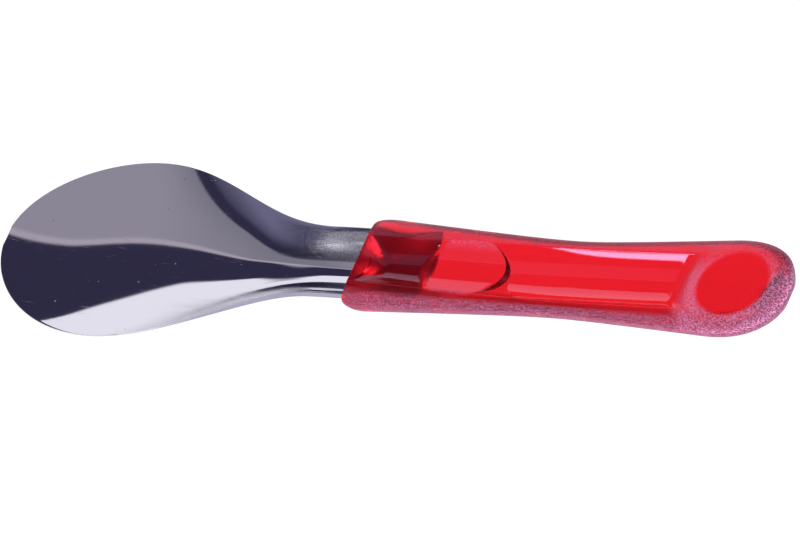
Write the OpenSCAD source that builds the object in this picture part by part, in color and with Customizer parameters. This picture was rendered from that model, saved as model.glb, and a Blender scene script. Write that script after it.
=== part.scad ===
// Ice cream spade: a dished steel blade whose tang is moulded into a transparent handle.
// The spade lies on z = 0 with its hollow side up. +X points to the end of the handle.

/* [Blade] */
// Length of the blade from its tip to the front of the handle
blade_len = 117; // [100:1:135]
// Greatest width of the blade
blade_w = 63; // [54:0.2:76]
// Length of the round nose, from the tip to the widest place
nose_len = 39; // [32:1:46]
// Depth of the dish below its rim
blade_depth = 6; // [4:0.5:8]
// Distance from the tip over which the dish grows to its full depth
dish_reach = 75; // [60:1:90]
// Rise of the tip above the rim
tip_lift = 2.4; // [0:0.2:5]
// Length over which the tip rises
tip_lift_len = 40; // [28:1:48]
// Thickness of the steel sheet
sheet_t = 1.2; // [0.8:0.1:1.5]
// Thickness of the ground edge
edge_t = 0.4; // [0.3:0.1:0.7]
// Width of the bevel behind the ground edge
bevel_w = 5; // [2:0.5:8]

/* [Neck and tang] */
// Width of the neck where it enters the handle
neck_w = 24; // [20:0.5:24.5]
// Depth of the neck's channel where it enters the handle
neck_depth = 5.8; // [3:0.1:6]
// Height of the neck's edges where it enters the handle
neck_edge_h = 9.1; // [8.4:0.1:9.2]
// Straight length of the neck in front of the handle
neck_straight = 12; // [4:1:16]
// Length over which the neck's edges rise towards the handle
neck_rise = 46; // [30:1:60]
// Length of the tang inside the handle
tang_len = 23; // [18:1:26]
// How far each edge of the tang draws in before its end, so that the plastic locks round it
tang_waist = 1.6; // [1:0.1:2.4]
// Gap between the tang and the plastic around it
mould_gap = 0.05; // [0.02:0.01:0.1]

/* [Handle] */
// Length of the handle
handle_len = 141; // [136:1:155]
// Width at the front
front_w = 32.6; // [31:0.2:36]
// Width at the waist
waist_w = 26.4; // [25:0.2:30]
// Width at the rear
rear_w = 33.8; // [31:0.2:37]
// Distance of the waist from the front
waist_x = 66; // [60:1:74]
// Distance of the rear width from the end
rear_inset = 19; // [15:1:28]
// Height of the top at the front
front_h = 11.4; // [11:0.2:14]
// Height of the top at the waist
waist_h = 10.2; // [9.4:0.1:11]
// Height of the top at the rear
rear_h = 11.8; // [11:0.2:14]
// Height of the widest line at the front
front_edge_h = 8.2; // [8:0.2:10]
// Height of the widest line at the waist
waist_edge_h = 8; // [7:0.2:8.6]
// Height of the widest line at the rear
rear_edge_h = 9.2; // [8:0.2:10]
// Width of the flat strip under the handle
land_w = 6; // [4:0.5:9]
// Length of the rounded rear end
end_len = 24; // [20:1:28]
// Length of the rounded front corners
corner_len = 7; // [4:0.5:9]
// How far the front corners draw in
corner_in = 2.6; // [1:0.2:2.8]
// Rise of the widest line at the front face
front_edge_lift = 0.8; // [0:0.1:1]
// Radius of the front edge
front_edge_r = 0.8; // [0.3:0.1:1.2]

/* [Top of the handle] */
// Width of the polished channel at the front
channel_front_w = 16.4; // [15:0.2:20]
// Width of the polished channel at the waist
channel_waist_w = 19.4; // [17:0.2:20]
// Width of the polished channel at the rear
channel_rear_w = 20; // [17:0.2:22]
// Depth of the channel
channel_depth = 3.8; // [2:0.1:4.2]
// Depth of the channel at its open front end
channel_front_depth = 0.3; // [0.1:0.1:1]
// Length over which the channel drops from its front end
channel_lead = 9; // [4:0.5:12]
// Depth of the thumb pad below the crown
pad_depth = 1.8; // [0.6:0.1:2]
// Distance of the pad's front edge from the front
pad_x = 24; // [22:0.2:28]
// Length of the pad on the centre line
pad_len = 23.5; // [20:0.1:26]
// Bulge of the pad's front edge
pad_front_bulge = 4; // [0.4:0.1:5]
// Bulge of the pad's round rear edge
pad_bulge = 8; // [4:0.1:10]
// Length of the slope in front of the pad, on the centre line
pad_ramp = 4.8; // [2:0.1:7]
// Length of the same slope at the channel's border
pad_ramp_side = 1.2; // [0.6:0.1:2]
// Length of the step behind the pad
pad_step = 1; // [0.6:0.1:2]
// Distance of the ridge from the end of the handle
ridge_inset = 31.5; // [29:0.5:36]
// Bulge of the ridge round the dish
ridge_bulge = 3.5; // [0:0.1:5]
// Length of the slope that climbs to the ridge
ridge_ramp = 8; // [4:0.5:10]
// Distance of the dish's centre from the end of the handle
dish_inset = 18; // [16:0.5:20]
// Diameter of the round dish
dish_d = 27; // [24:0.2:29]
// Depth of the round dish
dish_depth = 0.9; // [0.5:0.1:2]

/* [Hidden] */

rim_z = blade_depth + sheet_t;
wide_x = nose_len - blade_len;
origin_x = (handle_len - blade_len) / 2;
rear_x = handle_len - rear_inset;
ridge_x = handle_len - ridge_inset + ridge_bulge;
dish_x = handle_len - dish_inset;

// Exponents of the dish's end in the nose and of the tip
nose_dish_power = 2.5;
tip_power = 3;
// Softness of the waist: 0 would bend there, 1 is nearly a parabola
waist_soft = 0.2;
// Exponents of the rounded section and of the rounded rear end
crown_power = 2.6;
belly_power = 1.75;
front_belly_power = 1.2;
end_plan_power = 2.2;
end_side_power = 2;
channel_power = 2.4;
dish_power = 2;
bulge_power = 0.75;
// Largest part of the width that the channel's columns take where the handle narrows
channel_share = 0.76;
// Part of the rounded rear end that the last ring reaches
end_reach = 0.9996;
// Angle from the tip at which the nose's first ring lies
nose_start = 2;
// How far the socket's cutter stands out of the front face
over = 1;

// Numbers of facets
nose_steps = 24;
blade_steps = 22;
tang_steps = 12;
across_steps = 20;
channel_steps = 16;
shoulder_steps = 8;
land_steps = 2;
end_steps = 12;

function clamp(t) = min(max(t, 0), 1);
function ease(t) = let (u = clamp(t)) u * u * (3 - 2 * u);
function smoother(t) = let (u = clamp(t)) u * u * u * (u * (6 * u - 15) + 10);
function mix(a, b, t) = a + (b - a) * t;

// Quarter of a superellipse: 1 at u = 0, falling to 0 at u = 1
function round_off(u, power) = pow(1 - pow(clamp(u), power), 1 / power);

// Blade: half width, rim height and depth along x, where x = 0 is the front of the handle
function swell(x) = (1 + cos(180 * clamp((x - wide_x) / (-neck_straight - wide_x)))) / 2;
function blade_half(x) =
    x < wide_x ? blade_w / 2 * sqrt(1 - pow((wide_x - x) / nose_len, 2))
    : x < 0 ? mix(neck_w / 2, blade_w / 2, swell(x))
    : neck_w / 2 - tang_waist * pow(sin(180 * min(x / tang_len, 1)), 2);
function to_neck(x) = smoother((x + neck_rise) / neck_rise);
function rim_height(x) =
    mix(rim_z, neck_edge_h, to_neck(x))
    + tip_lift * pow(clamp((tip_lift_len - blade_len - x) / tip_lift_len), tip_power);
function nose_dish(x) = 1 - pow(clamp((dish_reach - blade_len - x) / dish_reach), nose_dish_power);
function dish_at(x) = mix(neck_depth, blade_depth, swell(x)) * nose_dish(x);

// One ring of the sheet at x, a parabola: the hollow face from one edge to the other, then the underside back.
// grow makes the sheet larger on all sides.
function sheet_ring(x, grow) =
    let (w = blade_half(x), d = dish_at(x), rim = rim_height(x))
    let (rows = [
        for (i = [0 : across_steps])
            let (t = 2 * i / across_steps - 1, slope = 2 * t * d / w)
            let (n = sqrt(1 + slope * slope), bevel = swell(x) * (1 - ease(w * (1 - abs(t)) / bevel_w)))
            [t * (w + grow), rim - d * (1 - t * t), slope / n, 1 / n, mix(sheet_t, edge_t, bevel)]
    ])
    concat(
        [for (r = rows) [x, r[0] - grow * r[2], r[1] + grow * r[3]]],
        [
            for (i = [across_steps : -1 : 0])
                let (r = rows[i], t = r[4] + grow)
                [x, r[0] + t * r[2], r[1] - t * r[3]]
        ]
    );

// Closed solid through rings of equal length, each a closed loop, with flat strips at both ends.
// A ring's points pair up from its two ends, so that a hollow end still closes.
module skin(rings) {
    n = len(rings[0]);
    ring_count = len(rings);
    half = n / 2;
    sides = [
        for (i = [0 : ring_count - 2], j = [0 : n - 1], side = [0, 1])
            let (a = i * n + j, b = i * n + (j + 1) % n)
            side == 0 ? [a, b, b + n] : [a, b + n, a + n]
    ];
    back = (ring_count - 1) * n;
    caps = [
        for (j = [0 : half - 2], side = [0, 1])
            let (a = j, b = j + 1, c = n - 2 - j, d = n - 1 - j)
            side == 0 ? [a, c, b] : [a, d, c]
    ];
    far_caps = [for (f = caps) [back + f[0], back + f[2], back + f[1]]];
    polyhedron(points = [for (r = rings) each r], faces = concat(sides, caps, far_caps), convexity = 6);
}

nose_xs = [
    for (i = [0 : nose_steps - 1])
        wide_x - nose_len * cos(nose_start + (90 - nose_start) * i / nose_steps)
];
neck_xs = [for (i = [0 : blade_steps - 1]) mix(wide_x, 0, i / blade_steps)];
tang_xs = [for (i = [0 : tang_steps]) mix(0, tang_len, i / tang_steps)];

// Handle: section along x
function bow(u) =
    let (hard = sqrt(1 + waist_soft * waist_soft) - waist_soft)
    (sqrt(u * u + waist_soft * waist_soft) - waist_soft) / hard;
function waisted(front, waist, rear, x) =
    x < waist_x
        ? mix(waist, front, bow((waist_x - x) / waist_x))
        : mix(waist, rear, bow((x - waist_x) / (rear_x - waist_x)));
function end_u(x) = (x - handle_len + end_len) / end_len;
function front_in(x, length, depth) = depth * (1 - sqrt(1 - pow(clamp(1 - x / length), 2)));
function half_width(x) =
    waisted(front_w, waist_w, rear_w, x) / 2 * round_off(end_u(x), end_plan_power)
    - front_in(x, corner_len, corner_in);
function edge_height(x) =
    waisted(front_edge_h, waist_edge_h, rear_edge_h, x) + front_in(x, corner_len, front_edge_lift);
function end_rise(x) = round_off(end_u(x), end_side_power);
function crown_height(x) =
    mix(edge_height(x), waisted(front_h, waist_h, rear_h, x), end_rise(x))
    - front_in(x, front_edge_r, front_edge_r);
function belly_height(x) =
    edge_height(x) * (1 - end_rise(x)) + front_in(x, front_edge_r, front_edge_r);
function channel_half(x) =
    min(
        waisted(channel_front_w, channel_waist_w, channel_rear_w, x) / 2,
        channel_share * half_width(x)
    );

function crown_at(x, y) =
    mix(edge_height(x), crown_height(x), round_off(abs(y) / half_width(x), crown_power));
function land_half(x) = min(land_w, half_width(x)) / 2;
function belly_at(x, y) =
    let (a = half_width(x), flat = land_half(x))
    let (power = mix(belly_power, front_belly_power, front_in(x, corner_len, 1)))
    mix(edge_height(x), belly_height(x), round_off((abs(y) - flat) / (a - flat), power));
function dish_cut(x, y) =
    let (r = 2 * norm([x - dish_x, y]) / dish_d)
    r < 1 ? dish_depth * pow(1 - r * r, dish_power) : 0;

// Key rings of the top: place at the channel's border, bulge on the centre line, depth, steps to the next
pad_rear = pad_x + pad_len - pad_bulge;
pad_front = pad_x + pad_front_bulge;
ramp_foot = pad_front - pad_ramp_side;
keys = [
    [0, 0, channel_front_depth, 10],
    [channel_lead, 0, channel_depth, 5],
    [ramp_foot, pad_x - pad_ramp - ramp_foot, channel_depth, 5],
    [pad_front, -pad_front_bulge, pad_depth, 7],
    [pad_rear, pad_bulge, pad_depth, 3],
    [pad_rear + pad_step, pad_bulge, channel_depth, 16],
    [ridge_x - ridge_ramp, -ridge_bulge, channel_depth, 6],
    [ridge_x, -ridge_bulge, 0, 3],
    [handle_len - end_len, 0, 0, 0]
];
key_stations = [
    for (k = [0 : len(keys) - 2], i = [0 : keys[k][3] - 1])
        let (t = i / keys[k][3], a = keys[k], b = keys[k + 1], u = k == 0 ? sin(90 * t * t) : t)
        [mix(a[0], b[0], u), mix(a[1], b[1], u), mix(a[2], b[2], ease(u))]
];
end_stations = [
    for (i = [0 : end_steps])
        [handle_len - end_len * (1 - end_reach * sin(90 * i / end_steps)), 0, 0]
];
stations = concat(key_stations, end_stations);

// Places across a section: even steps from the middle to an inner border, then closing up to the edge.
// The underside has the same number of places as the top.
half_steps = channel_steps / 2 + shoulder_steps;
function section_ys(x, border, inner_steps) =
    let (outer_steps = half_steps - inner_steps, a = half_width(x))
    let (inner = [for (i = [0 : inner_steps]) border * i / inner_steps])
    let (outer = [for (i = [1 : outer_steps]) mix(border, a, sin(90 * i / outer_steps))])
    let (half = concat(inner, outer))
    [for (i = [-half_steps : half_steps]) sign(i) * half[abs(i)]];

function top_point(station, y) =
    let (c = channel_half(station[0]), t = abs(y) / c)
    let (inside = t < 1 ? 1 - pow(t, channel_power) : 0)
    let (x = station[0] + (t < 1 ? station[1] * pow(1 - t * t, bulge_power) : 0))
    let (yy = y * half_width(x) / half_width(station[0]))
    [x, yy, crown_at(x, yy) - station[2] * inside - dish_cut(x, yy)];
function handle_ring(station) =
    let (x = station[0], top_ys = section_ys(x, channel_half(x), channel_steps / 2))
    let (under_ys = section_ys(x, land_half(x), land_steps))
    concat(
        [for (y = top_ys) top_point(station, y)],
        [for (i = [2 * half_steps - 1 : -1 : 1]) [x, under_ys[i], belly_at(x, under_ys[i])]]
    );

module sheet(xs, grow) {
    skin([for (x = xs) sheet_ring(x, grow)]);
}

module blade() {
    color("silver") translate([-origin_x, 0, 0]) sheet(concat(nose_xs, neck_xs, tang_xs), 0);
}

module tang_socket() {
    sheet(concat([-over], tang_xs, [tang_len + mould_gap]), mould_gap);
}

module handle() {
    color([0.8, 0.06, 0.1, 0.8]) translate([-origin_x, 0, 0]) difference() {
        skin([for (s = stations) handle_ring(s)]);
        tang_socket();
    }
}

blade();
handle();
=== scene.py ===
"""Ice cream spade: a dished steel blade whose tang is moulded into a clear red handle.

The blade and the handle are surfaces worked out with numpy. x runs along the spade from the blade's tip to
the handle's end, and inside the shape functions it is counted from the front face of the handle. The far
side, as the camera sees it, is +y.
"""

import bpy
import numpy as np
from bpy.props import FloatProperty, FloatVectorProperty, PointerProperty
from mathutils import Matrix, Vector


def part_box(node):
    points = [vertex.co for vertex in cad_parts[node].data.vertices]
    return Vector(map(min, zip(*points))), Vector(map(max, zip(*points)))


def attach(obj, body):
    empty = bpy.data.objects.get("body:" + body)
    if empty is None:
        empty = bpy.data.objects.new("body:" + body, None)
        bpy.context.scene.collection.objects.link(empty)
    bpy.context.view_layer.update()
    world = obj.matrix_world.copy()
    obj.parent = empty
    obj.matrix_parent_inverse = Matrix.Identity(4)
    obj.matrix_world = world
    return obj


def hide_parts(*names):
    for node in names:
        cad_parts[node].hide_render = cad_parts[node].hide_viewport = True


bl_info = {
    "name": "Ice Cream Spade",
    "version": (1, 0, 0),
    "blender": (4, 5, 0),
    "location": "View3D > Sidebar > Spade",
    "description": "Builds a steel ice cream spade with a clear red handle",
    "category": "Add Mesh",
}

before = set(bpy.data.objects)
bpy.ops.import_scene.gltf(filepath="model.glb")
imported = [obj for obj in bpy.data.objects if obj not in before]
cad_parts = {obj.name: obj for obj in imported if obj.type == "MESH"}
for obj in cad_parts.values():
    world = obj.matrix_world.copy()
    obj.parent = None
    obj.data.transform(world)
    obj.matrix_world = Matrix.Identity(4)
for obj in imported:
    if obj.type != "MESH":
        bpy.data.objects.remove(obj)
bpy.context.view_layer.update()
BLADE_LOW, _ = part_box("blade")
HANDLE_LOW, HANDLE_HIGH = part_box("handle")
FRONT_X = HANDLE_LOW.x
MM = 0.001


def length(label, millimetres, description):
    """A size property, written in millimetres and held in metres."""
    return FloatProperty(
        name=label, description=description, default=millimetres * MM, min=0.0, precision=5, unit="LENGTH"
    )


def number(label, value, description):
    """A plain number property."""
    return FloatProperty(name=label, description=description, default=value)


def colour(label, value, description):
    """A linear colour property."""
    return FloatVectorProperty(
        name=label, description=description, default=value, size=3, min=0.0, soft_max=1.0, subtype="COLOR"
    )


class SpadeBladeSizes(bpy.types.PropertyGroup):
    """Sizes of the blade, its neck and its tang."""

    reach: length("Blade length", (FRONT_X - BLADE_LOW.x) / MM, "Tip to the front of the handle")
    width: length("Blade width", 63, "Greatest width of the blade")
    nose: length("Nose length", 39, "Tip to the widest place")
    depth: length("Dish depth", 6, "Depth of the dish below its rim")
    dish_reach: length("Dish reach", 75, "Distance from the tip over which the dish grows to its depth")
    tip_lift: length("Tip lift", 2.4, "Rise of the tip above the rim")
    tip_lift_reach: length("Tip lift length", 40, "Length over which the tip rises")
    sheet: length("Sheet", 1.2, "Thickness of the steel sheet")
    edge: length("Edge", 0.4, "Thickness of the ground edge")
    bevel: length("Bevel", 5, "Width of the bevel behind the ground edge")
    neck_width: length("Neck width", 24, "Width where the neck enters the handle")
    neck_depth: length("Neck depth", 5.8, "Depth of the channel where it enters the handle")
    neck_height: length("Neck height", 9.1, "Height of the neck's edges at the handle")
    neck_straight: length("Straight neck", 12, "Straight length in front of the handle")
    neck_rise: length("Neck rise", 46, "Length over which the neck's edges rise towards the handle")
    tang_reach: length("Tang length", 23, "Length of the tang inside the handle")
    tang_waist: length("Tang waist", 1.6, "How far each edge of the tang draws in before its end")


class SpadeHandleSizes(bpy.types.PropertyGroup):
    """Sizes of the handle and of what is shaped into its top."""

    reach: length("Handle length", (HANDLE_HIGH.x - FRONT_X) / MM, "Length of the handle")
    front_width: length("Front width", 32.6, "Width at the front")
    waist_width: length("Waist width", 26.4, "Width at the waist")
    rear_width: length("Rear width", 33.8, "Width at the rear")
    waist_x: length("Waist place", 66, "Distance of the waist from the front")
    rear_inset: length("Rear place", 19, "Distance of the rear width from the end")
    front_height: length("Front height", 11.37, "Height of the top at the front")
    waist_height: length("Waist height", 10.2, "Height of the top at the waist")
    rear_height: length("Rear height", 11.77, "Height of the top at the rear")
    front_edge: length("Front edge height", 8.2, "Height of the widest line at the front")
    waist_edge: length("Waist edge height", 8, "Height of the widest line at the waist")
    rear_edge: length("Rear edge height", 9.2, "Height of the widest line at the rear")
    land: length("Flat strip", 6, "Width of the flat strip underneath")
    end: length("Rounded end", 24, "Length of the rounded rear end")
    corner: length("Front corner length", 7, "Length of the rounded front corners")
    corner_in: length("Front corner depth", 2.6, "How far the front corners draw in")
    front_lift: length("Front edge lift", 0.8, "Rise of the widest line at the front face")
    front_radius: length("Front edge radius", 0.8, "Radius of the front edge")
    channel_front: length("Channel front width", 16.4, "Width of the channel at the front")
    channel_waist: length("Channel waist width", 19.4, "Width of the channel at the waist")
    channel_rear: length("Channel rear width", 20, "Width of the channel at the rear")
    channel_depth: length("Channel depth", 3.8, "Depth of the channel")
    channel_mouth: length("Channel mouth depth", 0.3, "Depth of the channel at its open front end")
    channel_lead: length("Channel lead", 9, "Length over which the channel drops from the front")
    pad_depth: length("Pad depth", 1.8, "Depth of the thumb pad below the crown")
    pad_x: length("Pad place", 24, "Distance of the pad's front edge from the front")
    pad_reach: length("Pad length", 23.5, "Length of the pad on the centre line")
    pad_front_bulge: length("Pad front bulge", 4, "Bulge of the pad's front edge")
    pad_bulge: length("Pad rear bulge", 8, "Bulge of the pad's round rear edge")
    pad_ramp: length("Pad ramp", 4.8, "Slope in front of the pad, on the centre line")
    pad_ramp_side: length("Pad side ramp", 1.2, "The same slope at the channel's border")
    pad_step: length("Pad step", 1, "Length of the step behind the pad")
    ridge_inset: length("Ridge place", 31.5, "Distance of the ridge from the end")
    ridge_bulge: length("Ridge bulge", 3.5, "Bulge of the ridge round the dish")
    ridge_ramp: length("Ridge ramp", 8, "Length of the slope that climbs to the ridge")
    dish_inset: length("Dish place", 18, "Distance of the dish's centre from the end")
    dish_width: length("Dish width", 27, "Diameter of the round dish")
    dish_depth: length("Dish depth", 0.9, "Depth of the round dish")


class SpadeFinishes(bpy.types.PropertyGroup):
    """Colours of the two materials, among them a painted shade on the steel and a haze that also paints
    glints on the plastic.
    """

    steel: colour("Steel", (0.70, 0.69, 0.72), "Colour of the polished steel")
    # The next colour is painted shade: a dark, bluish tone laid on the far wall of the neck in place of the
    # dark reflection there.
    brushed_and_shaded: colour("Brushed steel", (0.24, 0.235, 0.28), "Colour of the steel where it is brushed")
    # The next colour is the haze the texture scatters back under the lamps. Laid out as sparkles, as a line
    # along the far side of the channel and on the far end of the pad, it is also painted glints.
    haze_and_glints: colour("Haze", (0.90, 0.36, 0.66), "Colour that the plastic's texture scatters back")
    plastic: colour("Plastic", (0.88, 0.016, 0.026), "Colour that light takes at the plastic's surface")
    depth: colour("Plastic depth", (0.96, 0.90, 0.90), "Colour that light takes inside the plastic")
    gloss: colour("Plastic gloss", (0.6, 0.55, 1.0), "Tint of the reflections on the plastic")


class SpadeStudio(bpy.types.PropertyGroup):
    """Camera."""

    lens: number("Lens", 1000.0, "Focal length in millimetres")
    view_width: length("View width", 227.8, "Width of the picture at the object")


# Rings along the pieces and columns across them
NOSE_RINGS = 70
BLADE_RINGS = 130
TANG_RINGS = 40
BLADE_COLUMNS = 88
EDGE_COLUMNS = 7
KEY_RINGS = (26, 22, 16, 22, 14, 46, 22, 10)
END_RINGS = 44
CHANNEL_COLUMNS = 34
SHOULDER_COLUMNS = 24
LAND_COLUMNS = 4
SHARP_ANGLE = np.radians(55.0)

# Blade: the first loop's angle from the tip in degrees, and powers and shares of its curves
NOSE_START = 0.2
NOSE_DISH_POWER = 2.5
TIP_POWER = 3.0
COLUMN_EVENNESS = 0.7
ROUNDING_LEAD = 0.3
EDGE_ROUNDING = 0.4
MOST_TRIMMED = 0.3
EDGE_POWERS = (0.06, 0.5)

# Brushing of the steel, which on the far wall of the neck also places the painted shade: spans along x, spans
# across from the near edge at -1 to the far edge at 1, and shares
FAR_WALL = (0.24, 0.38)
FAR_WALL_EDGE = (1.0, 0.9)
NEAR_WALL = (-0.35, -0.65)
NEAR_WALL_FRONT = (-75.0 * MM, -50.0 * MM)
NEAR_WALL_REAR = (-8.0 * MM, -22.0 * MM)
NEAR_WALL_BRUSHED = 0.55
RIM = (0.7, 0.95)
RIM_BRUSHED = 0.12
TANG_BRUSHED = 0.9

# Handle: powers and shares of its curves
WAIST_SOFT = 0.2
CROWN_POWER = 2.6
BELLY_POWER = 1.75
FRONT_BELLY_POWER = 1.2
END_PLAN_POWER = 2.2
END_SIDE_POWER = 2.0
CHANNEL_POWER = 2.4
DISH_POWER = 2.0
BULGE_POWER = 0.75
CHANNEL_SHARE = 0.76
END_REACH = 0.99999
SOCKET_INSET = 0.02 * MM

# Texture of the handle: spans across the channel, 1 at its border, and from the dish's middle, 1 at its rim
PAD_SIDES = (0.5, 1.0)
PAD_TEXTURE = 0.8
CHANNEL_BORDER = (0.96, 1.0)
DISH_BORDER = (0.76, 0.90)
FAR_SIDE = (0.0, 12.0 * MM)
FAR_TEXTURE = 0.6
BELLY_SIDES = (6.0 * MM, 9.0 * MM)
BELLY_END = (-8.0 * MM, -4.0 * MM)
BELLY_FAR = (0.0, 6.0 * MM)
BELLY_FAR_TEXTURE = 0.5

# Haze of the texture, on the same spans; the shoulder's is 0 at the channel and 1 at the widest line. The
# line along the channel's far side and the larger share on the far end of the pad are painted glints
SHOULDER_HAZE = (0.24, 0.66)
RING_INSIDE = (0.76, 0.86)
RING_INSIDE_SHARE = 0.8
RING_OUTSIDE = (0.85, 1.25)
RIM_HAZE = 1.7
FAR_HAZE = 0.5
PAD_HAZE_AND_GLINTS = (0.9, 1.6)
PAD_HAZE_BORDER = (1.12, 0.98)
GLINT_LINE_SHARE = 0.5
GLINT_LINE_INSIDE = (0.97, 1.03)
GLINT_LINE_OUTSIDE = (1.36, 1.12)
BELLY_FAR_HAZE = 0.1

# Steel: noise scales per metre, spans of the noise that count, and what they give
STEEL_GRAIN = 1900.0
STEEL_WAVE = 45.0
WAVE_STRENGTH = 0.12
WAVE_HEIGHT = 0.2 * MM
GRAIN_STRENGTH = (0.01, 0.30)
GRAIN_HEIGHT = 0.08 * MM
# These three set the painted shade on the far wall of the neck: how the grain mottles it, and how much
# brushing it takes to paint it.
SHADE_GRAIN_LEVELS = (0.35, 0.65)
SHADE_GRAIN_TONES = (1.0, 0.7)
PAINTED_SHADE_FROM = (0.12, 0.5)
TANG_BORDER = 0.5 * MM
STREAK_STRETCH = (60.0, 900.0, 300.0)
STREAK_LEVELS = (0.35, 0.62)
STREAK_SHARES = (0.65, 1.0)
SCRATCH_TURNS = (0.25, -0.5, 1.1)
SCRATCH_STRETCH = (120.0, 2800.0, 1.0)
SCRATCH_LEVELS = (0.72, 0.80)
SCRATCH_SHARES = (0.0, 0.5)
SPECK_CELLS = 330.0
SPECK_DRAW = (0.80, 0.81)
SPECK_SIZE = (0.07, 0.11)
MARK_ROUGHNESS = (0.045, 0.50)
BRUSHED_ROUGHNESS = (0.0, 0.46)

# Plastic: values where it is polished and where it is textured, and the sparkle that breaks its haze into
# painted glints
PLASTIC_ROUGHNESS = (0.02, 0.42)
PLASTIC_SPECULAR = (0.31, 0.03)
PLASTIC_BENDING = (1.58, 1.36)
PLASTIC_DENSITY = 242.0
TEXTURE_GRAIN = 2400.0
TEXTURE_RELIEF = 0.35
TEXTURE_HEIGHT = 0.1 * MM
SPARKLE_GRAIN = 2100.0
SPARKLE_LEVELS = (0.38, 0.70)
SPARKLE_SHARES = (0.12, 0.46)

# Floor
FLOOR_SIZE = 6.0
FLOOR_GAP = 0.1 * MM
FLOOR_COLOUR = (0.86, 0.86, 0.87, 1.0)
FLOOR_GLOW = 1.15
FLOOR_GLOW_SHARE = 0.88

# Colours of the studio
WHITE = (1.0, 1.0, 1.0, 1.0)
PLAIN_LIGHT = (0.05, 0.05, 0.05, 1.0)
SWEEP_COLOUR = (1.08, 1.06, 1.16, 1.0)
LOW_SWEEP_COLOUR = (0.74, 0.72, 0.88, 1.0)
ROOM_COLOUR = (0.037, 0.034, 0.076, 1.0)
NEAR_ROOM_COLOUR = (0.19, 0.18, 0.30, 1.0)
NEAR_FLOOR_COLOUR = (0.60, 0.58, 0.74, 1.0)
LIT_ROOM_COLOUR = (0.42, 0.40, 0.48, 1.0)
WINDOW_COLOUR = (13.0, 13.0, 13.0, 1.0)
BOX_COLOUR = (0.37, 0.345, 0.42, 1.0)
BOX_SIDE_COLOUR = (0.21, 0.205, 0.265, 1.0)
BOX_RIM_COLOUR = (0.52, 0.47, 0.55, 1.0)

# Directions of the studio: x, y and z of a direction, its leans x / z and y / z, and its tilt z + 0.69 y
LOWEST_Z = 0.05
TILT_BY_Y = 0.69
ROOM_LEAN_X = (-1.1, -0.9)
ROOM_LEAN_Y = (-0.3, 0.1)
LIT_ROOM_X = (-0.15, 0.15)
WINDOW_X = (-0.43, -0.46)
WINDOW_LEAN_X = (-0.83, -0.77)
WINDOW_LEAN_Y = (-0.84, -0.74)
WINDOW_SLANT = (-0.42, -0.52)
WINDOW_SLANT_X = 0.55
WINDOW_SLANT_BY_X = 3.0
NEAR_FLOOR_Y = (-0.2, -0.4)
NEAR_FLOOR_LEAN_Y = (-1.2, -1.4)
SWEEP_X = (-0.82, -0.70)
SWEEP_Y = (0.42, 0.5)
SWEEP_SHADE_Z = (-0.1, 0.25)
SWEEP_TILT = 1.026
SWEEP_TURN_X = (-0.49, -0.53)
SWEEP_TURN_Z = (0.50, 0.45)
SWEEP_TURNED_Y = 0.653
SWEEP_BEND_Z = 0.5
SWEEP_BEND = 0.45
SWEEP_SOFT = (-0.008, 0.008)
LOW_SWEEP_Y = (-0.1, 0.15)
LOW_SWEEP_Z = (0.34, 0.28)
BOX_FAR_TURN = (-0.65, -0.25)
BOX_FAR_EDGE = (0.50, 0.58)
BOX_LEFT_TURN = (0.02, 0.38)
BOX_LEFT_EDGE = (-0.80, -0.97)
BOX_NECK_Z = (0.77, 0.69)
BOX_NECK_TILT = 0.948
BOX_FAR_SOFT = (-0.012, 0.012)
BOX_LEFT_SOFT = (-0.015, 0.015)
BOX_NEAR_LEAN_Y = (-0.16, -0.10)
BOX_SIDE_LEAN_X = (-0.50, -0.82)
BOX_SIDE_SHARES = (0.0, 0.7)
BOX_RIM = (0.06, 0.03)

# Lamps: place, size and power; and the camera's axes with the middle of the picture to its right and up
LAMPS = {
    "key_lamp": ((0.50, -0.68, 0.30), 0.35, 9.0),
    "fill_lamp": ((0.45, 0.65, 0.35), 0.5, 5.0),
}
CAMERA_RIGHT = (0.8638, 0.3536, -0.3588)
CAMERA_BACK = (0.5001, -0.5151, 0.6962)
PICTURE_RIGHT = -2.08 * MM
PICTURE_UP = 4.99 * MM


def ease(t):
    """Smooth step from 0 to 1."""
    t = np.clip(t, 0.0, 1.0)
    return t * t * (3.0 - 2.0 * t)


def grow(value, span):
    """Smooth step from 0 at the start of a span to 1 at its stop, which may lie below its start."""
    start, stop = span
    return ease((value - start) / (stop - start))


def smoother(t):
    """Step from 0 to 1 that starts and ends without a jump in its bend."""
    t = np.clip(t, 0.0, 1.0)
    return t**3 * (t * (6.0 * t - 15.0) + 10.0)


def mix(a, b, t):
    """a at t = 0, b at t = 1."""
    return a + (b - a) * t


def round_off(u, power):
    """Quarter of a superellipse: 1 at u = 0, falling to 0 at u = 1."""
    return (1.0 - np.clip(u, 0.0, 1.0) ** power) ** (1.0 / power)


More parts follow.
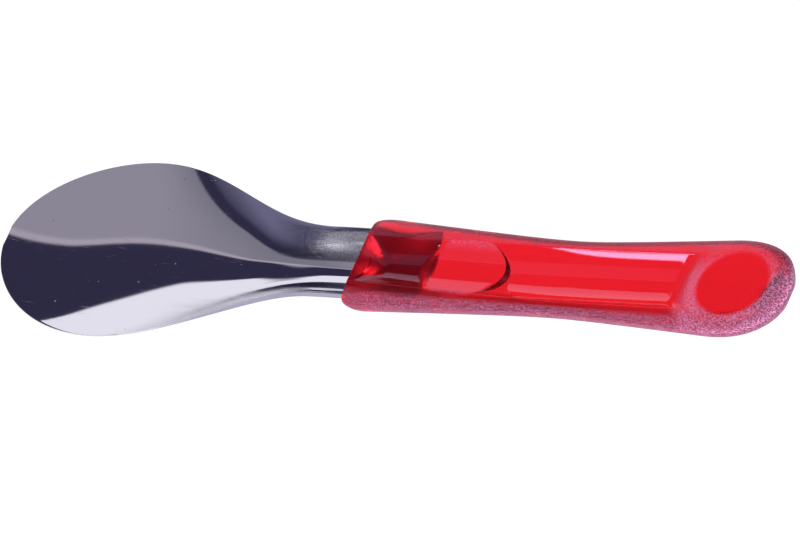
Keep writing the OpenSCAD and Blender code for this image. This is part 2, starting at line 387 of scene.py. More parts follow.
def blade_section(x, s):
    """Half width, dish depth, rim height and swell of the sheet at x.

    The nose is half an ellipse, the shoulders fall to the neck by half a cosine wave, and the tang has the
    neck's section with a waist. The dish fades out towards the tip, and the tip lifts, by powers of the
    distance.
    """
    wide_x = s.nose - s.reach
    along = np.clip((x - wide_x) / (-s.neck_straight - wide_x), 0.0, 1.0)
    swell = (1.0 + np.cos(np.pi * along)) / 2.0
    oval = 1.0 - np.clip((wide_x - x) / s.nose, 0.0, 1.0) ** 2
    half = mix(s.neck_width / 2, s.width / 2, swell) * np.sqrt(oval)
    waist = np.sin(np.pi * np.clip(x / s.tang_reach, 0.0, 1.0)) ** 2
    half = half - s.tang_waist * waist
    fade = 1.0 - np.clip((s.dish_reach - s.reach - x) / s.dish_reach, 0.0, 1.0) ** NOSE_DISH_POWER
    dish = mix(s.neck_depth, s.depth, swell) * fade
    lift = np.clip((s.tip_lift_reach - s.reach - x) / s.tip_lift_reach, 0.0, 1.0)
    rise = smoother((x + s.neck_rise) / s.neck_rise)
    rim = mix(s.depth + s.sheet, s.neck_height, rise) + s.tip_lift * lift**TIP_POWER
    return half, dish, rim, swell


def sheet_points(x, t, s, inset):
    """Upper and lower points of the sheet at x and at t, from -1 on one edge to 1 on the other.

    The upper face is the parabola z = rim - dish (1 - t^2). The lower face lies one thickness under it, along
    the section's normal, and the thickness falls to the ground edge within the bevel.
    """
    half, dish, rim, swell = blade_section(x, s)
    half = half - inset
    slope = 2.0 * t * dish / half
    normal = np.sqrt(1.0 + slope**2)
    ground = swell * (1.0 - ease(half * (1.0 - np.abs(t)) / s.bevel))
    thick = mix(s.sheet, s.edge, ground) - 2.0 * inset
    x = x + 0.0 * t
    y = t * half
    z = rim - dish * (1.0 - t**2) - inset
    upper = np.stack([x, y, z], axis=-1)
    lower = np.stack([x, y + thick * slope / normal, z - thick / normal], axis=-1)
    return upper, lower


def brushing_and_shade(x, across, s):
    """How far the steel is brushed at x and at across, from -1 on the near edge to 1 on the far edge.

    The brushing is full on the far wall of the neck, partial on the near wall, slight on the rim and even on
    the tang. On the far side of the neck the same values also place the steel's painted shade.
    """
    far_wall = grow(x, (-s.neck_rise, 0.0)) * grow(across, FAR_WALL) * grow(across, FAR_WALL_EDGE)
    near_wall = grow(x, NEAR_WALL_FRONT) * grow(x, NEAR_WALL_REAR) * grow(across, NEAR_WALL)
    rim = grow(np.abs(across), RIM)
    brushed_and_shaded = np.maximum(far_wall, np.maximum(NEAR_WALL_BRUSHED * near_wall, RIM_BRUSHED * rim))
    return np.where(x > 0.0, TANG_BRUSHED, brushed_and_shaded)


def blade_loops(s):
    """Closed loops round the sheet, and how far each point is brushed.

    A loop is the hollow face, an edge, the underside and the other edge. An edge is half a superellipse from
    face to face, nearly square along the neck and round in the nose.
    """
    wide_x = s.nose - s.reach
    angle = np.radians(np.linspace(NOSE_START, 90.0, NOSE_RINGS, endpoint=False))
    x = np.concatenate([
        wide_x - (s.nose - s.edge / 2.0) * np.cos(angle),
        np.linspace(wide_x, 0.0, BLADE_RINGS, endpoint=False),
        np.linspace(0.0, s.tang_reach, TANG_RINGS),
    ])[:, None]
    closing = np.sin(np.linspace(-np.pi / 2, np.pi / 2, BLADE_COLUMNS))[None, :]
    t = mix(closing, np.linspace(-1.0, 1.0, BLADE_COLUMNS)[None, :], COLUMN_EVENNESS)
    nose = ease((wide_x - x) / s.nose + ROUNDING_LEAD)
    rounding = EDGE_ROUNDING * s.edge * nose
    half = blade_section(x, s)[0]
    upper, lower = sheet_points(x, t, s, 0.0)
    keep = 1.0 - np.minimum(rounding, MOST_TRIMMED * half) / half
    upper[..., 1] *= keep
    lower[..., 1] *= keep
    turn = np.gradient(half[:, 0], x[:, 0])
    phi = np.linspace(0.0, np.pi, EDGE_COLUMNS + 2)[None, 1:-1, None]
    power = mix(*EDGE_POWERS, nose)[:, :, None]
    over = np.sign(np.cos(phi)) * np.abs(np.cos(phi)) ** power
    edges = []
    for sign, a, b in ((1.0, upper[:, -1], lower[:, -1]), (-1.0, lower[:, 0], upper[:, 0])):
        out = np.stack([-turn, np.full_like(turn, sign), 0.0 * turn], axis=-1)
        out *= np.minimum(rounding[:, 0], np.linalg.norm(a - b, axis=-1) / 2.0)[:, None]
        out /= np.linalg.norm([turn, np.ones_like(turn)], axis=0)[:, None]
        middle, arm = ((a + b) / 2.0)[:, None, :], ((a - b) / 2.0)[:, None, :]
        edges.append(middle + arm * over + out[:, None, :] * np.sin(phi) ** power)
    loops = np.concatenate([upper, edges[0], lower[:, ::-1], edges[1]], axis=1)
    return loops, brushing_and_shade(x, loops[..., 1] / half, s)


def waisted(front, waist, rear, x, s):
    """A size that runs from its front value through a soft waist, a hyperbola, to its rear value."""
    rear_x = s.reach - s.rear_inset
    u = np.where(x < s.waist_x, (s.waist_x - x) / s.waist_x, (x - s.waist_x) / (rear_x - s.waist_x))
    bow = (np.sqrt(u**2 + WAIST_SOFT**2) - WAIST_SOFT) / (np.sqrt(1.0 + WAIST_SOFT**2) - WAIST_SOFT)
    return mix(waist, np.where(x < s.waist_x, front, rear), bow)


def front_in(x, reach, depth):
    """Quarter ellipse that draws a size in by depth over reach at the front face."""
    return depth * (1.0 - np.sqrt(1.0 - np.clip(1.0 - x / reach, 0.0, 1.0) ** 2))


def handle_section(x, s):
    """Half width, height of the widest line, crown, belly and the channel's half width at x.

    Each is a waisted size. The front edges draw in by quarter ellipses, and the rear end by superellipses.
    """
    end = (x - s.reach + s.end) / s.end
    half = waisted(s.front_width, s.waist_width, s.rear_width, x, s) / 2.0 * round_off(end, END_PLAN_POWER)
    half = half - front_in(x, s.corner, s.corner_in)
    edge = waisted(s.front_edge, s.waist_edge, s.rear_edge, x, s) + front_in(x, s.corner, s.front_lift)
    rise = round_off(end, END_SIDE_POWER)
    top = waisted(s.front_height, s.waist_height, s.rear_height, x, s)
    crown = mix(edge, top, rise) - front_in(x, s.front_radius, s.front_radius)
    belly = edge * (1.0 - rise) + front_in(x, s.front_radius, s.front_radius)
    channel = waisted(s.channel_front, s.channel_waist, s.channel_rear, x, s) / 2.0
    return half, edge, crown, belly, np.minimum(channel, CHANNEL_SHARE * half)


def handle_stations(s):
    """Place at the channel's border, bulge on the centre line, channel depth, pad and rim share of each ring.

    The first two run straight from key to key, and the others by a smooth step. The last rings close up
    towards the rear end.
    """
    pad_rear = s.pad_x + s.pad_reach - s.pad_bulge
    pad_front = s.pad_x + s.pad_front_bulge
    ramp_foot = pad_front - s.pad_ramp_side
    ridge_x = s.reach - s.ridge_inset + s.ridge_bulge
    keys = np.array([
        [0.0, 0.0, s.channel_mouth, 0.0, 0.0],
        [s.channel_lead, 0.0, s.channel_depth, 0.0, 0.0],
        [ramp_foot, s.pad_x - s.pad_ramp - ramp_foot, s.channel_depth, 0.0, 0.0],
        [pad_front, -s.pad_front_bulge, s.pad_depth, 1.0, 0.0],
        [pad_rear, s.pad_bulge, s.pad_depth, 1.0, 0.0],
        [pad_rear + s.pad_step, s.pad_bulge, s.channel_depth, 0.0, 0.0],
        [ridge_x - s.ridge_ramp, -s.ridge_bulge, s.channel_depth, 0.0, 0.0],
        [ridge_x, -s.ridge_bulge, 0.0, 0.0, 1.0],
        [s.reach - s.end, 0.0, 0.0, 0.0, 1.0],
    ])
    rings = []
    for index, count in enumerate(KEY_RINGS):
        u = np.linspace(0.0, 1.0, count, endpoint=False)
        if index == 0:
            u = np.sin(np.pi / 2.0 * u**2)
        a, b, u = keys[[index]], keys[[index + 1]], u[:, None]
        rings.append(np.concatenate([mix(a, b, u)[:, :2], mix(a, b, ease(u))[:, 2:]], axis=1))
    u = END_REACH * np.sin(np.linspace(0.0, np.pi / 2.0, END_RINGS + 1))
    none = np.zeros_like(u)
    rings.append(np.stack([s.reach - s.end * (1.0 - u), none, none, none, none + 1.0], axis=-1))
    return np.concatenate(rings)


def spread(half, border, inner, outer):
    """Places across a section: even steps to an inner border, then closing up towards the edge."""
    near = border * np.linspace(0.0, 1.0, inner + 1)[None, :]
    far = mix(border, half, np.sin(np.linspace(0.0, np.pi / 2.0, outer + 1))[None, 1:])
    right = np.concatenate([near, far], axis=1)
    return np.concatenate([-right[:, :0:-1], right], axis=1)


def dish_distance(x, y, s):
    """Distance from the middle of the round dish, 1 at its rim."""
    return 2.0 * np.hypot(x - s.reach + s.dish_inset, y) / s.dish_width


def top_texture(y, half, channel, pad, rim, r):
    """How far each point of the handle's top is textured, and how hazy the texture looks.

    Textured are the shoulders beside the channel, the sides of the pad and the rear rim, and less so on the
    far side. Haze lies on the outer shoulders, the rear rim and the sides of the pad, less on the far side,
    and on the far side along the channel; that line and the larger share on the far end of the pad are
    painted glints. The channel's floor and most of the dish, where r is below 1, are polished.
    """
    across = np.abs(y) / channel
    far = grow(y, FAR_SIDE)
    sides = PAD_TEXTURE * pad * grow(across, PAD_SIDES)
    rough = np.maximum(np.maximum(sides, rim), grow(across, CHANNEL_BORDER)) * grow(r, DISH_BORDER)
    rough = rough * mix(1.0, FAR_TEXTURE, far)
    shoulder = grow((np.abs(y) - channel) / (half - channel), SHOULDER_HAZE)
    ring = np.maximum(RING_INSIDE_SHARE * grow(r, RING_INSIDE), grow(r, RING_OUTSIDE))
    outer = np.maximum(shoulder, RIM_HAZE * rim * ring) * mix(1.0, FAR_HAZE, far)
    # More haze on the far end of the pad, as painted glints.
    inner = mix(*PAD_HAZE_AND_GLINTS, far) * sides * grow(across, PAD_HAZE_BORDER)
    # Painted glint line: haze along the far border of the channel.
    painted_glint_line = GLINT_LINE_SHARE * far * grow(across, GLINT_LINE_INSIDE) * grow(across, GLINT_LINE_OUTSIDE)
    return rough, rough * np.maximum(np.maximum(outer, painted_glint_line), inner)


def handle_top(stations, s):
    """Points of the handle's top, how far each is textured, and how hazy the texture is.

    The crown is a superellipse across the section. The channel sinks by depth (1 - t^2.4), where t is 1 at
    its border, its rings bulge by (1 - t^2)^0.75, and the dish sinks by its depth times (1 - r^2)^2.
    """
    x0, bulge, depth, pad, rim = (stations[:, [i]] for i in range(5))
    half0, _, _, _, channel0 = handle_section(x0, s)
    y0 = spread(half0, channel0, CHANNEL_COLUMNS, SHOULDER_COLUMNS)
    t = np.clip(np.abs(y0) / channel0, 0.0, 1.0)
    x = x0 + bulge * (1.0 - t**2) ** BULGE_POWER
    half, edge, crown, _, _ = handle_section(x, s)
    y = y0 * half / half0
    z = mix(edge, crown, round_off(np.abs(y) / half, CROWN_POWER))
    r = dish_distance(x, y, s)
    z = z - depth * (1.0 - t**CHANNEL_POWER) - s.dish_depth * np.clip(1.0 - r**2, 0.0, 1.0) ** DISH_POWER
    return np.stack([x, y, z], axis=-1), *top_texture(y0, half0, channel0, pad, rim, r)


def handle_belly(stations, s):
    """Points of the underside, how far each is textured, and how hazy the texture is.

    From edge to edge it is a flat strip, then a quarter superellipse up to the widest line. Its sides and its
    rear end are textured, and less so on the far side.
    """
    x = stations[:, [0]]
    half, edge, _, belly, _ = handle_section(x, s)
    land = np.minimum(s.land, half) / 2.0
    y = spread(half, land, LAND_COLUMNS, CHANNEL_COLUMNS + SHOULDER_COLUMNS - LAND_COLUMNS)
    power = mix(BELLY_POWER, FRONT_BELLY_POWER, front_in(x, s.corner, 1.0))
    z = mix(edge, belly, round_off((np.abs(y) - land) / (half - land), power))
    sides = np.maximum(grow(np.abs(y), BELLY_SIDES), grow(x - s.reach, BELLY_END))
    far = grow(y, BELLY_FAR)
    texture, haze_and_glints = (sides * mix(1.0, share, far) for share in (BELLY_FAR_TEXTURE, BELLY_FAR_HAZE))
    return np.stack([x + 0.0 * y, y, z], axis=-1), texture, haze_and_glints


def tang_socket(columns, blade):
    """Loops of the tang's socket, from the front face inwards, with a top of so many columns.

    The socket's walls lie a hair inside the steel, so the plastic touches the tang all round.
    """
    x = np.linspace(0.0, blade.tang_reach - SOCKET_INSET, TANG_RINGS)[:, None]
    upper, _ = sheet_points(x, np.linspace(-1.0, 1.0, columns)[None, :], blade, SOCKET_INSET)
    _, lower = sheet_points(x, np.linspace(1.0, -1.0, columns - 2)[None, :], blade, SOCKET_INSET)
    return np.concatenate([upper, lower], axis=1)


def handle_loops(blade, s):
    """Closed loops of the handle, from its rear end forwards, over the front face and into the tang's socket.

    With them come how far each point is textured and how hazy the texture is. The socket is polished.
    """
    stations = handle_stations(s)[::-1]
    top = handle_top(stations, s)
    belly = handle_belly(stations, s)
    loops, texture, haze_and_glints = (np.concatenate([a, b[:, -2:0:-1]], axis=1) for a, b in zip(top, belly))
    socket = tang_socket(top[0].shape[1], blade)
    polished = np.zeros(socket.shape[:2])
    return tuple(np.concatenate(pair) for pair in ((loops, socket), (texture, polished), (haze_and_glints, polished)))


def loft(name, loops):
    """Closed mesh through loops of equal length: quads between neighbours, and a strip over each end.

    The sum over the faces of the centre times the area vector has the volume's sign, which turns the faces
    outwards.
    """
    rings, count = loops.shape[:2]
    i, j = np.meshgrid(np.arange(rings - 1), np.arange(count), indexing="ij")
    k = (j + 1) % count
    sides = np.stack([i * count + j, (i + 1) * count + j, (i + 1) * count + k, i * count + k], axis=-1)
    j = np.arange(count // 2 - 1)
    strip = np.stack([j, j + 1, count - 2 - j, count - 1 - j], axis=-1)
    faces = np.concatenate([sides.reshape(-1, 4), strip, strip[:, ::-1] + (rings - 1) * count])
    points = loops.reshape(-1, 3) + np.array([FRONT_X, 0.0, 0.0])
    a, b, c, d = (points[faces[:, corner]] for corner in range(4))
    if np.einsum("ij,ij->", a + b + c + d, np.cross(c - a, d - b)) < 0.0:
        faces = faces[:, ::-1]
    mesh = bpy.data.meshes.new(name)
    mesh.vertices.add(len(points))
    mesh.vertices.foreach_set("co", points.astype(np.float32).ravel())
    mesh.loops.add(faces.size)
    mesh.loops.foreach_set("vertex_index", faces.astype(np.int32).ravel())
    mesh.polygons.add(len(faces))
    mesh.polygons.foreach_set("loop_start", np.arange(0, faces.size, 4, dtype=np.int32))
    mesh.polygons.foreach_set("use_smooth", np.ones(len(faces), dtype=bool))
    mesh.update(calc_edges=True)
    mesh.validate()
    mesh.set_sharp_from_angle(angle=SHARP_ANGLE)
    piece = bpy.data.objects.new(name, mesh)
    bpy.context.scene.collection.objects.link(piece)
    return piece


def point_values(piece, name, values):
    """Stores a value at every point of a piece for its material."""
    made = piece.data.attributes.new(name, "FLOAT", "POINT")
    made.data.foreach_set("value", values.astype(np.float32).ravel())


class NodeMaker:
    """Fills one shader tree with nodes, with short calls for the usual kinds."""

    def __init__(self, tree):
        self.tree = tree
        tree.nodes.clear()

    def add(self, kind, inputs=None, **settings):
        """A node with its settings, and with each named input linked or set."""
        made = self.tree.nodes.new(kind)
        for key, value in settings.items():
            setattr(made, key, value)
        for key, value in (inputs or {}).items():
            if isinstance(value, bpy.types.NodeSocket):
                self.tree.links.new(value, made.inputs[key])
            else:
                made.inputs[key].default_value = value
        return made

    def join(self, operation, first, *others):
        """Values joined one after the other by a maths operation."""
        for value in others:
            first = self.add("ShaderNodeMath", {0: first, 1: value}, operation=operation).outputs[0]
        return first

    def rest(self, share):
        """What a share leaves of 1."""
        return self.join("SUBTRACT", 1.0, share)

    def ramp(self, value, span=(0.0, 1.0), ends=(0.0, 1.0), kind="LINEAR"):
        """Runs from one of the ends to the other while value crosses a span, and holds them outside it."""
        return self.add("ShaderNodeMapRange", {
            "Value": value, "From Min": span[0], "From Max": span[1], "To Min": ends[0], "To Max": ends[1],
        }, interpolation_type=kind).outputs[0]

    def band(self, value, span, ends=(0.0, 1.0)):
        """The same by a smooth step."""
        return self.ramp(value, span, ends, "SMOOTHSTEP")

    def over(self, share, under, on_top):
        """The colour on_top over the colour under, by share."""
        return self.add("ShaderNodeMix", {0: share, 6: under, 7: on_top}, data_type="RGBA").outputs[2]

    def noise(self, place, scale, detail):
        """Noise with features of 1 / scale."""
        return self.add("ShaderNodeTexNoise", {"Vector": place, "Scale": scale, "Detail": detail}).outputs[0]

    def attribute(self, name):
        """A value stored at the piece's points."""
        return self.add("ShaderNodeAttribute", attribute_name=name).outputs["Fac"]


def new_material(name):
    """A material with an empty tree, and the maker of its nodes."""
    material = bpy.data.materials.new(name)
    material.use_nodes = True
    return material, NodeMaker(material.node_tree)


def steel_material(finishes):
    """Polished stainless sheet with a soft wave, fine scratches and small specks.

    Where the brushing attribute says so it is rough, in streaks outside the handle. On the far wall of the
    neck a darker, bluish colour is painted over it as shade, in place of the dark reflection there.
    """
    material, nodes = new_material("polished_steel")
    place = nodes.add("ShaderNodeTexCoord").outputs["Object"]
    axes = nodes.add("ShaderNodeSeparateXYZ", {0: place}).outputs
    grain = nodes.noise(place, STEEL_GRAIN, 2.0)
    wave = nodes.noise(place, STEEL_WAVE, 1.0)

    def stretched(turn, scale, detail):
        """Noise in long streaks along a direction in the sheet."""
        turned = nodes.add("ShaderNodeMapping", {
            "Vector": place, "Rotation": (0.0, 0.0, turn), "Scale": scale,
        })
        return nodes.noise(turned.outputs[0], 1.0, detail)

    brushed_and_shaded = nodes.attribute("brushed_and_shaded")
    outside = nodes.ramp(axes["X"], (FRONT_X - TANG_BORDER, FRONT_X), (1.0, 0.0))
    # Painted shade: on the far side of the neck, outside the handle, the steel takes a darker, bluish colour,
    # mottled by the grain, in place of the dark reflection there.
    painted_shade = nodes.join(
        "MULTIPLY", nodes.ramp(brushed_and_shaded, PAINTED_SHADE_FROM), outside, nodes.ramp(axes["Y"], (0.0, MM)),
        nodes.ramp(grain, SHADE_GRAIN_LEVELS, SHADE_GRAIN_TONES),
    )
    tone = nodes.over(painted_shade, (*finishes.steel, 1.0), (*finishes.brushed_and_shaded, 1.0))
    streaks = nodes.ramp(stretched(0.0, STREAK_STRETCH, 4.0), STREAK_LEVELS, STREAK_SHARES)
    brushed_and_shaded = nodes.join("MULTIPLY", brushed_and_shaded, nodes.join("MAXIMUM", streaks, nodes.rest(outside)))
    scratches = [
        nodes.ramp(stretched(turn, SCRATCH_STRETCH, 1.0), SCRATCH_LEVELS, SCRATCH_SHARES)
        for turn in SCRATCH_TURNS
    ]
    cells = nodes.add("ShaderNodeTexVoronoi", {"Vector": place, "Scale": SPECK_CELLS}).outputs
    draw = nodes.add("ShaderNodeSeparateColor", {0: cells["Color"]}).outputs[0]
    specks = nodes.join(
        "MULTIPLY", nodes.ramp(cells["Distance"], SPECK_SIZE, (1.0, 0.0)), nodes.ramp(draw, SPECK_DRAW)
    )
    marks = nodes.join("MAXIMUM", *scratches, specks)
    rough = nodes.join(
        "MAXIMUM", nodes.ramp(marks, ends=MARK_ROUGHNESS), nodes.ramp(brushed_and_shaded, ends=BRUSHED_ROUGHNESS)
    )
    broad = nodes.add("ShaderNodeBump", {"Strength": WAVE_STRENGTH, "Distance": WAVE_HEIGHT, "Height": wave})
    fine = nodes.add("ShaderNodeBump", {
        "Strength": nodes.ramp(brushed_and_shaded, ends=GRAIN_STRENGTH), "Distance": GRAIN_HEIGHT, "Height": grain,
        "Normal": broad.outputs[0],
    })
    shader = nodes.add("ShaderNodeBsdfPrincipled", {
        "Base Color": tone, "Metallic": 1.0, "Roughness": rough, "Normal": fine.outputs[0],
    })
    nodes.add("ShaderNodeOutputMaterial", {"Surface": shader.outputs[0]})
    return material


def plastic_material(finishes):
    """Clear red plastic: polished where the attribute texture is 0, spark-textured where it is 1.

    Light reddens at the surface and darkens on its way through. The texture is rougher, mirrors less and
    bends light less. Where the haze attribute says so, it scatters some lamp light back, broken up into
    sparkles that are painted glints.
    """
    material, nodes = new_material("clear_red_plastic")
    place = nodes.add("ShaderNodeTexCoord").outputs["Object"]
    texture = nodes.attribute("texture")
    bump = nodes.add("ShaderNodeBump", {
        "Strength": nodes.join("MULTIPLY", texture, TEXTURE_RELIEF), "Distance": TEXTURE_HEIGHT,
        "Height": nodes.noise(place, TEXTURE_GRAIN, 2.0),
    })
    clear = nodes.add("ShaderNodeBsdfPrincipled", {
        "Base Color": (*finishes.plastic, 1.0), "Roughness": nodes.ramp(texture, ends=PLASTIC_ROUGHNESS),
        "IOR": nodes.ramp(texture, ends=PLASTIC_BENDING),
        "Specular IOR Level": nodes.ramp(texture, ends=PLASTIC_SPECULAR),
        "Specular Tint": (*finishes.gloss, 1.0), "Transmission Weight": 1.0, "Normal": bump.outputs[0],
    })
    haze_and_glints = nodes.add("ShaderNodeBsdfDiffuse", {"Color": (*finishes.haze_and_glints, 1.0), "Normal": bump.outputs[0]})
    # Painted glints: noise breaks the haze into sparkles.
    painted_sparkle = nodes.ramp(nodes.noise(place, SPARKLE_GRAIN, 0.0), SPARKLE_LEVELS, SPARKLE_SHARES)
    share = nodes.join("MULTIPLY", painted_sparkle, nodes.attribute("haze_and_glints"))
    shader = nodes.add("ShaderNodeMixShader", {0: share, 1: clear.outputs[0], 2: haze_and_glints.outputs[0]})
    inside = nodes.add("ShaderNodeVolumeAbsorption", {
        "Color": (*finishes.depth, 1.0), "Density": PLASTIC_DENSITY,
    })
    nodes.add("ShaderNodeOutputMaterial", {"Surface": shader.outputs[0], "Volume": inside.outputs[0]})
    return material


def finish_piece(piece, node, material):
    """Gives a piece its material, and lets it ride on the body in place of its CAD node."""
    piece.data.materials.append(material)
    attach(piece, "root")
    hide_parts(node)


class SPADE_OT_blade(bpy.types.Operator):
    """Builds the steel blade with its neck and tang"""

    bl_idname = "spade.blade"
    bl_label = "Steel blade"

    def execute(self, context):
        scene = context.scene
        loops, brushed_and_shaded = blade_loops(scene.spade_blade)
        piece = loft("steel_blade", loops)
        point_values(piece, "brushed_and_shaded", brushed_and_shaded)
        finish_piece(piece, "blade", steel_material(scene.spade_finishes))
        return {"FINISHED"}


class SPADE_OT_handle(bpy.types.Operator):
    """Builds the clear red handle round the tang"""

    bl_idname = "spade.handle"
    bl_label = "Clear red handle"

    def execute(self, context):
        scene = context.scene
        loops, texture, haze_and_glints = handle_loops(scene.spade_blade, scene.spade_handle)
        piece = loft("clear_handle", loops)
        point_values(piece, "texture", texture)
        point_values(piece, "haze_and_glints", haze_and_glints)
        finish_piece(piece, "handle", plastic_material(scene.spade_finishes))
        return {"FINISHED"}


def floor_material():
    """White floor that keeps part of the shadow.

    It glows for rays that see it straight, mirrored or through the plastic, and is matt for all others.
    """
    material, nodes = new_material("white_floor")
    path = nodes.add("ShaderNodeLightPath").outputs
    seen = nodes.join("MAXIMUM", path["Is Camera Ray"], path["Is Glossy Ray"], path["Is Transmission Ray"])
    matt = nodes.add("ShaderNodeBsdfDiffuse", {"Color": FLOOR_COLOUR})
    glow = nodes.add("ShaderNodeEmission", {"Color": WHITE, "Strength": FLOOR_GLOW})
    both = nodes.add("ShaderNodeMixShader", {
        0: nodes.join("MULTIPLY", seen, FLOOR_GLOW_SHARE), 1: matt.outputs[0], 2: glow.outputs[0],
    })
    nodes.add("ShaderNodeOutputMaterial", {"Surface": both.outputs[0]})
    return material


def dark_room(nodes, axes, lean_x, lean_y, passed):
    """Colour of the room: dark, lighter on the camera's side, with a window there and a pale floor under it.

    passed is 1 for rays that come out of the plastic. They find the handle's end of the room lit, and no
    window.
    """
    dark = nodes.join("MAXIMUM", nodes.band(lean_y, ROOM_LEAN_Y), nodes.band(lean_x, ROOM_LEAN_X))
    room = nodes.over(dark, NEAR_ROOM_COLOUR, ROOM_COLOUR)
    lit = nodes.join("MULTIPLY", passed, nodes.band(axes["X"], LIT_ROOM_X))
    room = nodes.over(lit, room, LIT_ROOM_COLOUR)
    slant = nodes.join("MULTIPLY", nodes.join("ADD", axes["X"], WINDOW_SLANT_X), WINDOW_SLANT_BY_X)
    window = nodes.join(
        "MULTIPLY", nodes.band(nodes.join("ADD", lean_y, slant), WINDOW_SLANT),
        nodes.band(lean_y, WINDOW_LEAN_Y), nodes.band(lean_x, WINDOW_LEAN_X), nodes.band(axes["X"], WINDOW_X),
        nodes.rest(passed),
    )
    room = nodes.over(window, room, WINDOW_COLOUR)
    near = nodes.join("MULTIPLY", nodes.band(lean_y, NEAR_FLOOR_LEAN_Y), nodes.band(axes["Y"], NEAR_FLOOR_Y))
    return nodes.over(near, room, NEAR_FLOOR_COLOUR)


def white_sweep(nodes, axes, tilt):
    """Share and colour of the white sweep on the far side, which is greyer low down.

    Its upper border is a line of even tilt. Towards the blade's tip and low down it is a bent line of even y.
    """
    turned = nodes.join("MAXIMUM", nodes.band(axes["X"], SWEEP_TURN_X), nodes.band(axes["Z"], SWEEP_TURN_Z))
    tilted = nodes.join("MULTIPLY", nodes.join("SUBTRACT", SWEEP_TILT, tilt), nodes.rest(turned))
    bend = nodes.join("MAXIMUM", nodes.join("SUBTRACT", SWEEP_BEND_Z, axes["Z"]), 0.0)
    bend = nodes.join("MULTIPLY", bend, SWEEP_BEND)
    beyond = nodes.join("MULTIPLY", nodes.join("SUBTRACT", axes["Y"], SWEEP_TURNED_Y, bend), turned)
    below = nodes.band(nodes.join("ADD", tilted, beyond), SWEEP_SOFT)
    upper = nodes.join("MULTIPLY", below, nodes.band(axes["Y"], SWEEP_Y))
    lower = nodes.join("MULTIPLY", nodes.band(axes["Z"], LOW_SWEEP_Z), nodes.band(axes["Y"], LOW_SWEEP_Y))
    share = nodes.join("MULTIPLY", nodes.join("MAXIMUM", upper, lower), nodes.band(axes["X"], SWEEP_X))
    return share, nodes.over(nodes.band(axes["Z"], SWEEP_SHADE_Z), LOW_SWEEP_COLOUR, SWEEP_COLOUR)


def soft_box(nodes, axes, lean_x, lean_y, tilt):
    """Share and colour of the soft box overhead, darker to the left and with a pale rim on its far side.

    Its far border is a line of almost even lean, and low down a line of even tilt.
    """
    far_edge = nodes.band(lean_x, BOX_FAR_TURN, BOX_FAR_EDGE)
    left_edge = nodes.band(lean_y, BOX_LEFT_TURN, BOX_LEFT_EDGE)
    neck = nodes.band(axes["Z"], BOX_NECK_Z)
    leaning = nodes.join("MULTIPLY", nodes.join("SUBTRACT", far_edge, lean_y), nodes.rest(neck))
    tilted = nodes.join("MULTIPLY", nodes.join("SUBTRACT", BOX_NECK_TILT, tilt), neck)
    inside = nodes.join("ADD", leaning, tilted)
    share = nodes.join(
        "MULTIPLY", nodes.band(inside, BOX_FAR_SOFT),
        nodes.band(nodes.join("SUBTRACT", lean_x, left_edge), BOX_LEFT_SOFT),
        nodes.band(lean_y, BOX_NEAR_LEAN_Y),
    )
    shade = nodes.over(nodes.band(lean_x, BOX_SIDE_LEAN_X, BOX_SIDE_SHARES), BOX_COLOUR, BOX_SIDE_COLOUR)
    return share, nodes.over(nodes.band(inside, BOX_RIM), shade, BOX_RIM_COLOUR)


def studio_world():
    """White sky for the camera, a studio for what the steel and the plastic mirror, and faint plain light."""
    world = bpy.data.worlds.new("studio")
    world.use_nodes = True
    nodes = NodeMaker(world.node_tree)
    place = nodes.add("ShaderNodeTexCoord").outputs["Generated"]
    axes = nodes.add("ShaderNodeSeparateXYZ", {0: place}).outputs
    path = nodes.add("ShaderNodeLightPath").outputs
    high = nodes.join("MAXIMUM", axes["Z"], LOWEST_Z)
    lean_x, lean_y = (nodes.join("DIVIDE", axes[axis], high) for axis in "XY")
    tilt = nodes.join("ADD", axes["Z"], nodes.join("MULTIPLY", axes["Y"], TILT_BY_Y))
    studio = dark_room(nodes, axes, lean_x, lean_y, path["Is Transmission Ray"])
    for share, tone in (white_sweep(nodes, axes, tilt), soft_box(nodes, axes, lean_x, lean_y, tilt)):
        studio = nodes.over(share, studio, tone)
    shown = nodes.over(path["Is Glossy Ray"], PLAIN_LIGHT, studio)
    shown = nodes.over(path["Is Camera Ray"], shown, WHITE)
    glow = nodes.add("ShaderNodeBackground", {"Color": shown, "Strength": 1.0})
    nodes.add("ShaderNodeOutputWorld", {"Surface": glow.outputs[0]})
    return world


def soft_lamp(name, place, size, power):
    """A square area lamp at place that shines at the origin and isn't mirrored."""
    lamp = bpy.data.lights.new(name, "AREA")
    lamp.size = size
    lamp.energy = power
    made = bpy.data.objects.new(name, lamp)
    made.location = place
    made.rotation_euler = (-Vector(place)).to_track_quat("-Z", "Y").to_euler()
    made.visible_glossy = False
    bpy.context.scene.collection.objects.link(made)


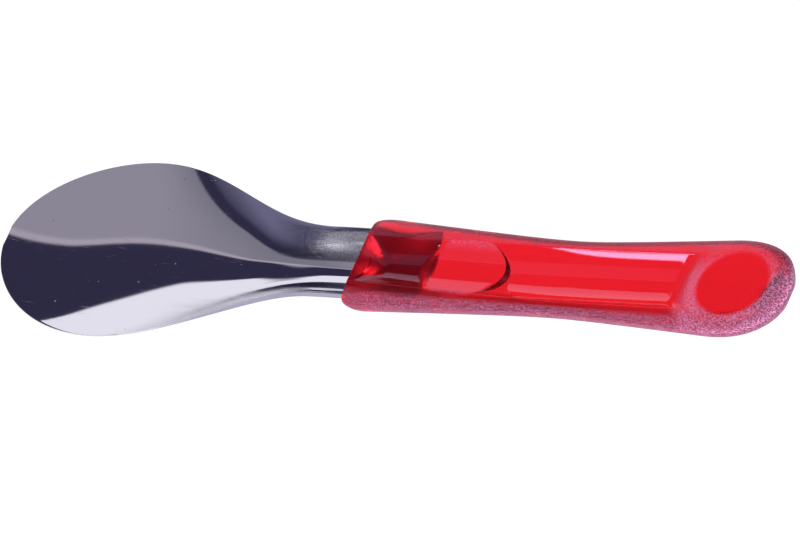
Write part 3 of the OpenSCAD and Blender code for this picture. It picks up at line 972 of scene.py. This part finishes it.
class SPADE_OT_stage(bpy.types.Operator):
    """Builds the floor, the light and the camera"""

    bl_idname = "spade.stage"
    bl_label = "Stage"

    def execute(self, context):
        scene = context.scene
        studio = scene.spade_studio
        bpy.ops.mesh.primitive_plane_add(size=FLOOR_SIZE)
        floor = context.object
        floor.name = "floor"
        floor.location.z = -FLOOR_GAP
        floor.data.materials.append(floor_material())
        scene.world = studio_world()
        for name, (place, size, power) in LAMPS.items():
            soft_lamp(name, place, size, power)
        right = Vector(CAMERA_RIGHT).normalized()
        back = Vector(CAMERA_BACK).normalized()
        up = back.cross(right).normalized()
        aim = right * PICTURE_RIGHT + up * PICTURE_UP
        camera = bpy.data.objects.new("camera", bpy.data.cameras.new("camera"))
        camera.data.lens = studio.lens
        reach = studio.lens * studio.view_width / camera.data.sensor_width
        turn = Matrix((right, up, back)).transposed().to_4x4()
        camera.matrix_world = Matrix.Translation(aim + back * reach) @ turn
        camera.data.clip_end = 2.0 * reach
        scene.collection.objects.link(camera)
        scene.camera = camera
        scene.view_settings.view_transform = "Standard"
        return {"FINISHED"}


class SPADE_PT_panel(bpy.types.Panel):
    """Lists the pieces of the spade, its sizes and its colours"""

    bl_idname = "SPADE_PT_panel"
    bl_label = "Ice cream spade"
    bl_space_type = "VIEW_3D"
    bl_region_type = "UI"
    bl_category = "Spade"

    def draw(self, context):
        for operator in (SPADE_OT_blade, SPADE_OT_handle, SPADE_OT_stage):
            self.layout.operator(operator.bl_idname)
        for name, group in GROUPS.items():
            for setting in group.__annotations__:
                self.layout.prop(getattr(context.scene, name), setting)


GROUPS = {
    "spade_blade": SpadeBladeSizes,
    "spade_handle": SpadeHandleSizes,
    "spade_finishes": SpadeFinishes,
    "spade_studio": SpadeStudio,
}
CLASSES = (*GROUPS.values(), SPADE_OT_blade, SPADE_OT_handle, SPADE_OT_stage, SPADE_PT_panel)


def register():
    for one in CLASSES:
        bpy.utils.register_class(one)
    for name, group in GROUPS.items():
        setattr(bpy.types.Scene, name, PointerProperty(type=group))


def unregister():
    for name in GROUPS:
        delattr(bpy.types.Scene, name)
    for one in reversed(CLASSES):
        bpy.utils.unregister_class(one)


def main():
    """Registers the add-on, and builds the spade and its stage."""
    register()
    bpy.ops.spade.stage()
    bpy.ops.spade.blade()
    bpy.ops.spade.handle()


if __name__ == "__main__":
    main()
